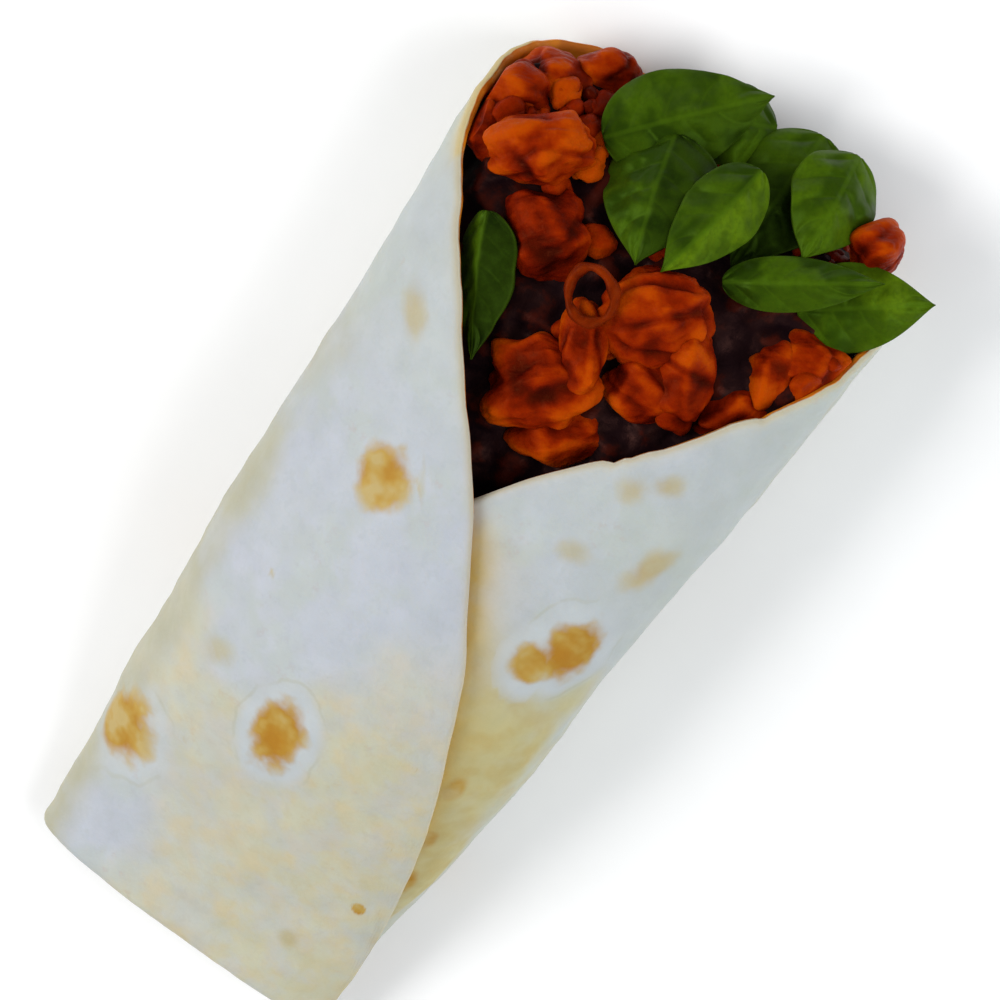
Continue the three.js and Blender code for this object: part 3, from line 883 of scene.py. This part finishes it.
def curl_piece():
    around, tube = CURL_SIDES
    angle = np.linspace(0, 2 * math.pi, around, endpoint=False)[:, None]
    spin = np.linspace(0, 2 * math.pi, tube, endpoint=False)[None, :]
    slow, quick = np.sin(3 * angle + 1), np.sin(7 * angle)
    rod = CURL_ROD * (1 + CURL_UNEVEN[0] * slow + CURL_UNEVEN[1] * quick)
    out = rod * np.cos(spin)
    x = (CURL_RADII[0] + out) * np.cos(angle)
    y = (CURL_RADII[1] + out) * np.sin(angle)
    z = rod * CURL_TALL * np.sin(spin) + CURL_WAVE * np.sin(2 * angle)
    points = np.stack([x, y, z], -1).reshape(-1, 3) @ turned(*CURL_TURN).T
    points = seated(points, "pepper_curl")
    faces = []
    for i in range(around):
        for k in range(tube):
            a, b = i * tube + k, i * tube + (k + 1) % tube
            c, d = (b + tube) % (around * tube), (a + tube) % (around * tube)
            faces.append((a, b, c, d))
    piece = mesh_piece("curl", points, outward(points, faces))
    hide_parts("pepper_curl")
    return piece


# ---- materials ----

SPREAD = (0.3, 0.7)  # most of a noise's values lie between these
MIX_COLOURS = (6, 7)  # a mix node's colour sockets, and its colour output
MIX_RESULT = 2


class Surface:
    """A node material round one Principled shader. It has its noises as clouds, each with a
    size in millimetres, its detail and, where that isn't the usual one, its roughness."""

    def __init__(self, name, clouds, **constants):
        self.material = bpy.data.materials.new(name)
        self.material.use_nodes = True
        self.tree = self.material.node_tree
        self.shader = self.tree.nodes["Principled BSDF"]
        for socket, value in constants.items():
            self.shader.inputs[socket.replace("_", " ")].default_value = value
        place = self.tree.nodes.new("ShaderNodeTexCoord").outputs["Object"]
        self.clouds = {cloud: self.noise(place, *shape) for cloud, shape in clouds.items()}

    def fill(self, socket, value):
        """Links an output, or sets a number or a colour. None leaves the socket as it is."""
        if isinstance(value, bpy.types.NodeSocket):
            self.tree.links.new(value, socket)
        elif isinstance(value, tuple):
            socket.default_value = (*value, 1.0)
        elif value is not None:
            socket.default_value = value

    def node(self, kind, inputs, **settings):
        """A node with these settings and inputs, each input by its name or number."""
        node = self.tree.nodes.new("ShaderNode" + kind)
        for name, value in settings.items():
            setattr(node, name, value)
        for socket, value in inputs.items():
            self.fill(node.inputs[socket], value)
        return node

    def noise(self, place, size, detail, roughness=0.55):
        inputs = {"Vector": place, "Scale": 1 / (size * MM), "Detail": detail, "Roughness": roughness}
        return self.node("TexNoise", inputs).outputs["Fac"]

    def field(self, name):
        return self.node("Attribute", {}, attribute_name=name).outputs["Fac"]

    def maths(self, kind, first, second=None):
        return self.node("Math", {0: first, 1: second}, operation=kind).outputs[0]

    def between(self, value, low, high, to_low=0.0, to_high=1.0):
        inputs = dict(enumerate((value, low, high, to_low, to_high)))
        return self.node("MapRange", inputs, interpolation_type="SMOOTHSTEP").outputs["Result"]

    def cloud(self, name, low=0.0, high=1.0, span=SPREAD):
        """From low to high, as the cloud's noise goes from one end of the span to the other."""
        return self.between(self.clouds[name], *span, low, high)

    def stirred(self, value, *stirs):
        """The value with clouds added to it, each with its name and its low and high."""
        for stir in stirs:
            value = self.maths("ADD", value, self.cloud(*stir))
        return value

    def mix(self, share, first, second, kind="MIX"):
        inputs = {"Factor": share, MIX_COLOURS[0]: first, MIX_COLOURS[1]: second}
        return self.node("Mix", inputs, data_type="RGBA", blend_type=kind).outputs[MIX_RESULT]

    def ramp(self, value, *stops):
        node = self.node("ValToRGB", {"Fac": value})
        elements = node.color_ramp.elements
        while len(elements) < len(stops):
            elements.new(0.5)
        for element, (position, colour) in zip(elements, stops):
            element.position = position
            element.color = (*colour, 1.0)
        return node.outputs["Color"]

    def bump(self, cloud, distance, strength, under=None):
        """Fine relief with the cloud's shape, its height in millimetres."""
        inputs = {"Height": self.clouds[cloud], "Distance": distance * MM, "Strength": strength}
        return self.node("Bump", {**inputs, "Normal": under}).outputs["Normal"]

    def wear(self, colour, roughness, normal=None):
        for socket, value in (("Base Color", colour), ("Roughness", roughness), ("Normal", normal)):
            self.fill(self.shader.inputs[socket], value)
        return self.material


# ---- the tortilla's material ----

TORTILLA_CLOUDS = {
    "broad": (26, 4), "wide": (15, 3), "patch": (11, 3, 0.5), "mottle": (7, 4, 0.6),
    "blotch": (5, 2, 0.5), "speck": (4.8, 2), "fine": (2.4, 4, 0.6), "grain": (0.9, 3),
}

# What breaks up each mask: a cloud, the share that is left where it is low, and its span.
BROKEN_UP = {
    "warm": ("broad", 0.5, SPREAD),
    "tan": ("mottle", 0.55, (0.36, 0.62)),
    "side": ("patch", 0.6, (0.3, 0.6)),
    "khaki": ("patch", 0.75, (0.3, 0.55)),
    "gold_toast_and_shadow": ("patch", 0.7, (0.3, 0.6)),
}

# Grounds: a cloud and its span, the two colours that it goes between, and tints laid over
# them in turn, each with its cloud, span, share and colour.
FLOUR = ("broad", (0.35, 0.7), (0.415, 0.44, 0.485), (0.43, 0.455, 0.48), (
    ("patch", (0.45, 0.65), 0.7, (0.415, 0.45, 0.43)),
    ("mottle", (0.48, 0.65), 0.7, (0.44, 0.462, 0.51)),
    ("fine", (0.5, 0.7), 0.6, (0.39, 0.418, 0.445)),
))
BEIGE = ("blotch", (0.35, 0.68), (0.475, 0.465, 0.345), (0.50, 0.44, 0.285), (
    ("fine", (0.45, 0.7), 0.35, (0.45, 0.40, 0.26)),
    ("wide", (0.5, 0.68), 0.5, (0.445, 0.43, 0.28)),
))
# Khaki: partly tan, partly painted shade under the left flap.
KHAKI = ("blotch", (0.35, 0.7), (0.46, 0.415, 0.21), (0.43, 0.355, 0.15), ())
SAUCE = ("blotch", (0.35, 0.65), (0.50, 0.13, 0.002), (0.66, 0.21, 0.003), ())
WARM_FLOUR = (0.425, 0.46, 0.415)
# painted shade down the left side
OLIVE_SHADE = (0.39, 0.38, 0.285)
# partly toast, partly the painted shadow of the left flap's edge
GOLD_TOAST_AND_SHADOW = (0.49, 0.345, 0.09)
LIP = (0.54, 0.42, 0.18)

HALO = (0.445, 0.475, 0.485)
HALO_FADE = (1.2, 5.0)  # millimetres from a spot's edge
RING = (0.36, 0.35, 0.25)
RING_PLACE = (3.2, 4.0)  # the ring round a halo wanders between these

TOAST = (
    (0.36, (0.445, 0.33, 0.125)),
    (0.48, (0.425, 0.27, 0.055)),
    (0.62, (0.385, 0.20, 0.018)),
    (0.76, (0.365, 0.165, 0.008)),
)
WEAK_TOAST = (0.405, 0.38, 0.25)
SPOT_END = 1.16  # in its own half sizes
SPOT_STIRS = (("fine", -0.05, 0.05, (0.25, 0.75)), ("blotch", -0.16, 0.16))

SAUCE_STIRS = (("fine", -0.15, 0.15), ("patch", -0.35, 0.05, (0.35, 0.65)))


class Tortilla(Surface):
    """The tortilla's material, layer by layer."""

    def __init__(self):
        super().__init__("tortilla", TORTILLA_CLOUDS, Subsurface_Weight=0.25,
                         Subsurface_Scale=0.002, Subsurface_Radius=(1.0, 0.7, 0.45),
                         Specular_IOR_Level=0.25)

    def patchy(self, mask):
        cloud, least, span = BROKEN_UP[mask]
        return self.maths("MULTIPLY", self.field(mask), self.cloud(cloud, least, 1.0, span))

    def ground(self, cloud, span, first, second, tints):
        colour = self.mix(self.cloud(cloud, span=span), first, second)
        for cloud, span, share, tint in tints:
            colour = self.mix(self.cloud(cloud, 0.0, share, span), colour, tint)
        return colour

    def halo(self):
        """Where the flour stays clean and pale round the big spots."""
        near = self.between(self.field("away"), *HALO_FADE, to_low=1.0, to_high=0.0)
        return self.maths("MULTIPLY", self.field("halo"), near)

    def ring(self):
        """The faint broken ring that ends a halo."""
        middle = self.cloud("blotch", *RING_PLACE)
        apart = self.maths("ABSOLUTE", self.maths("SUBTRACT", self.field("away"), middle))
        line = self.between(apart, 0.1, 0.6, to_low=0.3, to_high=0.0)
        ring = self.maths("MULTIPLY", line, self.field("halo"))
        return self.maths("MULTIPLY", ring, self.cloud("patch", span=(0.4, 0.6)))

    def baked(self):
        """The sheet's colours without spots, with painted shade down the left side, under the left
        flap and as a shadow along its edge.
        """
        halo = self.halo()
        clear = self.maths("SUBTRACT", 1.0, halo)
        flour = self.mix(self.patchy("warm"), self.ground(*FLOUR), WARM_FLOUR)
        flour = self.mix(halo, flour, HALO)
        tan = self.maths("MULTIPLY", self.patchy("tan"), clear)
        colour = self.mix(tan, flour, self.ground(*BEIGE))
        # the olive painted shade down the left side
        colour = self.mix(self.patchy("side"), colour, OLIVE_SHADE)
        # the khaki, partly painted shade under the left flap
        khaki = self.maths("MULTIPLY", self.patchy("khaki"), clear)
        colour = self.mix(khaki, colour, self.ground(*KHAKI))
        colour = self.mix(self.ring(), colour, RING)
        # the gold strip, partly the painted shadow of the left flap's edge
        return self.mix(self.patchy("gold_toast_and_shadow"), colour, GOLD_TOAST_AND_SHADOW)

    def toasted(self, colour):
        """The toasted spots. A strong spot is browner and has a larger core than a weak one."""
        amount = self.field("toast")
        tone = self.between(amount, 0.8, 1.0, to_low=-0.03, to_high=0.10)
        toast = self.ramp(self.maths("ADD", self.clouds["blotch"], tone), *TOAST)
        toast = self.mix(self.between(amount, 0.3, 0.8), WEAK_TOAST, toast)
        core = self.between(amount, 0.4, 0.85, to_low=0.1, to_high=0.6)
        ragged = self.stirred(self.field("spot"), *SPOT_STIRS)
        share = self.between(ragged, core, SPOT_END, to_low=1.0, to_high=0.0)
        share = self.maths("MULTIPLY", share, self.between(amount, 0.0, 0.7))
        return self.mix(share, colour, toast)

    def speckled(self, colour):
        """Slightly darker and lighter specks all over."""
        fine = self.cloud("fine", 1.01, 0.98, span=(0.35, 0.65))
        speckle = self.stirred(fine, ("speck", -0.02, 0.03, (0.35, 0.65)))
        return self.mix(1.0, colour, speckle, "MULTIPLY")

    def sauced(self, colour):
        """The sauce that has soaked unevenly into the lips and the inner face."""
        soaked = self.stirred(self.field("stain"), *SAUCE_STIRS)
        return self.mix(self.between(soaked, 0.12, 0.6), colour, self.ground(*SAUCE))


def tortilla_material():
    look = Tortilla()
    colour = look.speckled(look.toasted(look.baked()))
    colour = look.mix(look.field("lip"), colour, LIP)
    grain = look.bump("grain", distance=0.10, strength=0.6)
    relief = look.bump("fine", distance=0.2, strength=0.5, under=grain)
    roughness = look.cloud("patch", low=0.55, high=0.75)
    return look.wear(look.sauced(colour), roughness, relief)


# ---- the filling's materials ----

# The chunks' low tones are painted shade in creases, partly pooled sauce; the high ones painted
# orange highlights.
CHICKEN_TONES = (
    (0.0, (0.030, 0.0016, 0.0005)),
    (0.3, (0.105, 0.0045, 0.0003)),
    (0.6, (0.205, 0.0120, 0.0003)),
    (0.82, (0.29, 0.0255, 0.0003)),
    (1.0, (0.40, 0.052, 0.0005)),
)
# The bed's near-black tones are painted shade of the deep gaps between the pieces.
BED_SHADE_TONES = (
    (0.0, (0.005, 0.002, 0.0035)),
    (0.5, (0.0085, 0.0026, 0.0032)),
    (1.0, (0.034, 0.0036, 0.0018)),
)
PEPPER = ((0.085, 0.006, 0.0005), (0.19, 0.018, 0.0006))
# Dark, light and bright greens: shaded and lit copies of the leaf's green, picked by the tint's
# painted light and shade.
DARK_AND_SHADED_GREEN = ((0.0042, 0.009, 0.0012), (0.009, 0.018, 0.0013))
LIGHT_GREEN = ((0.017, 0.038, 0.0015), (0.044, 0.088, 0.002))
BRIGHT_AND_LIT_GREEN = ((0.045, 0.085, 0.002), (0.08, 0.14, 0.003))
LIGHT_TINTS = (0.0, 1.0)  # from dark to light green between these
BRIGHT_TINTS = (1.0, 1.6)  # and on to bright green
FLECKS = (0.016, 0.036, 0.0015)
VEIN = (0.06, 0.12, 0.004)
LEAF_EDGE = (0.045, 0.085, 0.004)


def chicken_material():
    clouds = {"patch": (6, 3), "strand": (3.2, 4, 0.6), "fine": (1.6, 4, 0.6), "grain": (1.3, 3, 0.6)}
    look = Surface("sauced_chicken", clouds, Subsurface_Weight=0.15, Subsurface_Scale=0.0015,
                   Subsurface_Radius=(1.0, 0.25, 0.1), Specular_IOR_Level=0.14,
                   Specular_Tint=(1.0, 0.2, 0.03, 1.0))
    # For the chunks the crest carries painted light and shade; for the scraps it is their random
    # tone.
    level = look.stirred(look.field("crest"), ("patch", -0.15, 0.15), ("fine", -0.06, 0.06))
    colour = look.ramp(look.between(level, -0.7, 0.7), *CHICKEN_TONES)
    strands = look.bump("strand", distance=0.7, strength=0.6)
    relief = look.bump("grain", distance=0.2, strength=0.7, under=strands)
    return look.wear(colour, look.cloud("fine", low=0.4, high=0.6), relief)


def bed_shade_material():
    clouds = {"patch": (3, 3), "fine": (2.0, 4), "grain": (1.2, 3)}
    look = Surface("sauce_bed_painted_shade", clouds, Specular_IOR_Level=0.12, Specular_Tint=(1.0, 0.4, 0.3, 1.0))
    # Lighter where the lumps rise, over the dark painted shade of the sauce.
    level = look.stirred(look.field("crest"), ("fine", -0.3, 0.3))
    colour = look.ramp(look.between(level, -0.4, 1.0), *BED_SHADE_TONES)
    roughness = look.cloud("patch", low=0.35, high=0.6)
    return look.wear(colour, roughness, look.bump("grain", distance=0.25, strength=0.6))


def basil_material():
    look = Surface("basil", {"patch": (8, 3), "fine": (0.8, 3)}, Specular_IOR_Level=0.17,
                   Specular_Tint=(0.5, 1.0, 0.08, 1.0), Subsurface_Weight=0.08,
                   Subsurface_Scale=0.001, Subsurface_Radius=(0.4, 1.0, 0.2))
    crease = look.between(look.field("crease"), -0.6, 0.6, to_low=-0.15, to_high=0.15)
    patch = look.maths("ADD", look.clouds["patch"], crease)
    # The tint picks the painted shade and light: dark green in shade, bright green where lit.
    tint = look.field("tint")
    greens = (DARK_AND_SHADED_GREEN, LIGHT_GREEN, BRIGHT_AND_LIT_GREEN)
    dark, light, bright = (look.mix(look.between(patch, *SPREAD), *green) for green in greens)
    blade = look.mix(look.between(tint, *LIGHT_TINTS), dark, light)
    blade = look.mix(look.between(tint, *BRIGHT_TINTS), blade, bright)
    blade = look.mix(look.cloud("fine", high=0.3, span=(0.4, 0.7)), blade, FLECKS)
    # Veins show less on leaves in painted shade.
    shown = look.between(tint, *LIGHT_TINTS, to_low=0.4)
    vein = look.maths("MULTIPLY", look.between(look.field("vein"), 0.3, 1.0, to_high=0.35), shown)
    colour = look.mix(vein, blade, VEIN)
    colour = look.mix(look.between(look.field("edge"), 0.9, 1.0, to_high=0.3), colour, LEAF_EDGE)
    roughness = look.between(patch, *SPREAD, to_low=0.35, to_high=0.5)
    return look.wear(colour, roughness, look.bump("fine", distance=0.06, strength=0.5))


def pepper_material():
    look = Surface("pepper", {"patch": (4, 3), "fine": (2, 3), "grain": (1.0, 3)},
                   Specular_IOR_Level=0.15, Specular_Tint=(1.0, 0.25, 0.05, 1.0),
                   Subsurface_Weight=0.15, Subsurface_Scale=0.0015,
                   Subsurface_Radius=(1.0, 0.2, 0.05))
    colour = look.mix(look.cloud("patch"), *PEPPER)
    roughness = look.cloud("fine", low=0.35, high=0.55)
    return look.wear(colour, roughness, look.bump("grain", distance=0.15, strength=0.5))


# ---- studio ----

FLOOR_EDGE = 3.0  # metres from its middle
FLOOR_GREYS = ((0.90, 0.90, 0.90), (0.93, 0.93, 0.93))
SKY = (0.94, 0.97, 1.0, 1.0)
SKY_STRENGTH = 0.5
LAMP_AIM = Vector((0, 0, 20))

# Each softbox: name, place, size, power in watts and colour.
SOFTBOXES = [
    ("key", (-600, -200, 620), 500, 5.8, (1.0, 0.98, 0.96)),
    ("fill", (620, 260, 620), 600, 4.6, (0.97, 0.99, 1.0)),
]

LENS = 130.0
SENSOR = 36.0
CLIP_START = 0.01  # metres
DISTANCE = 646.2
TARGET = Vector((2.2, 15.2, 20.0))
TILT = 16.97  # degrees from straight down, towards the mouth
LEAN = 1.5  # degrees towards the wrap's right side
ROLL = 54.3  # degrees from the camera's level up to the wrap's length


def camera():
    tilt, lean, roll = (math.radians(angle) for angle in (TILT, LEAN, ROLL))
    back = Vector((math.sin(lean), math.sin(tilt) * math.cos(lean), math.cos(tilt) * math.cos(lean)))
    back.normalize()
    ahead = (Vector((0, 1, 0)) - back * back.y).normalized()
    aside = back.cross(ahead) * -1
    right = math.cos(roll) * ahead + math.sin(roll) * aside
    up = math.sin(roll) * ahead - math.cos(roll) * aside
    place = (TARGET + back * DISTANCE) * MM
    data = bpy.data.cameras.new("camera")
    data.lens = LENS
    data.sensor_width = SENSOR
    data.clip_start = CLIP_START
    eye = placed("camera", data)
    eye.matrix_world = Matrix((
        (right.x, up.x, back.x, place.x),
        (right.y, up.y, back.y, place.y),
        (right.z, up.z, back.z, place.z),
        (0, 0, 0, 1),
    ))
    bpy.context.scene.camera = eye


def softbox(name, place, size, power, colour):
    """A square lamp that faces the wrap, with its place and size in millimetres."""
    data = bpy.data.lights.new(name, "AREA")
    data.size = size * MM
    data.energy = power
    data.color = colour
    lamp = placed(name, data)
    lamp.location = Vector(place) * MM
    lamp.rotation_euler = (LAMP_AIM - Vector(place)).to_track_quat("-Z", "Y").to_euler()


def floor_material():
    look = Surface("pale_floor", {"broad": (60, 4), "patch": (30, 3)})
    colour = look.mix(look.cloud("broad"), *FLOOR_GREYS)
    return look.wear(colour, look.cloud("patch", low=0.7, high=0.85))


def studio_floor():
    mesh = bpy.data.meshes.new("floor")
    ends = (-FLOOR_EDGE, FLOOR_EDGE)
    mesh.from_pydata([(x, y, 0) for x in ends for y in ends], [], [(0, 2, 3, 1)])
    mesh.materials.append(floor_material())
    floor = placed("floor", mesh)


def studio():
    studio_floor()
    world = bpy.data.worlds.new("studio")
    world.use_nodes = True
    background = world.node_tree.nodes["Background"]
    background.inputs["Color"].default_value = SKY
    background.inputs["Strength"].default_value = SKY_STRENGTH
    bpy.context.scene.world = world
    for lamp in SOFTBOXES:
        softbox(*lamp)
    bpy.context.scene.view_settings.view_transform = "Standard"
    bpy.context.scene.view_settings.look = "None"


def dress(pieces, material):
    for piece in pieces:
        piece.data.materials.clear()
        piece.data.materials.append(material)


dress([tortilla_piece()], tortilla_material())
bed_floor, bed_roof = bed_grid()
dress([bed_piece(bed_floor, bed_roof)], bed_shade_material())
dress([bits_piece(bed_floor, bed_roof), *chicken_pieces()], chicken_material())
dress([leaf_piece(i + 1, *leaf) for i, leaf in enumerate(LEAVES)], basil_material())
dress([curl_piece()], pepper_material())
studio()
camera()
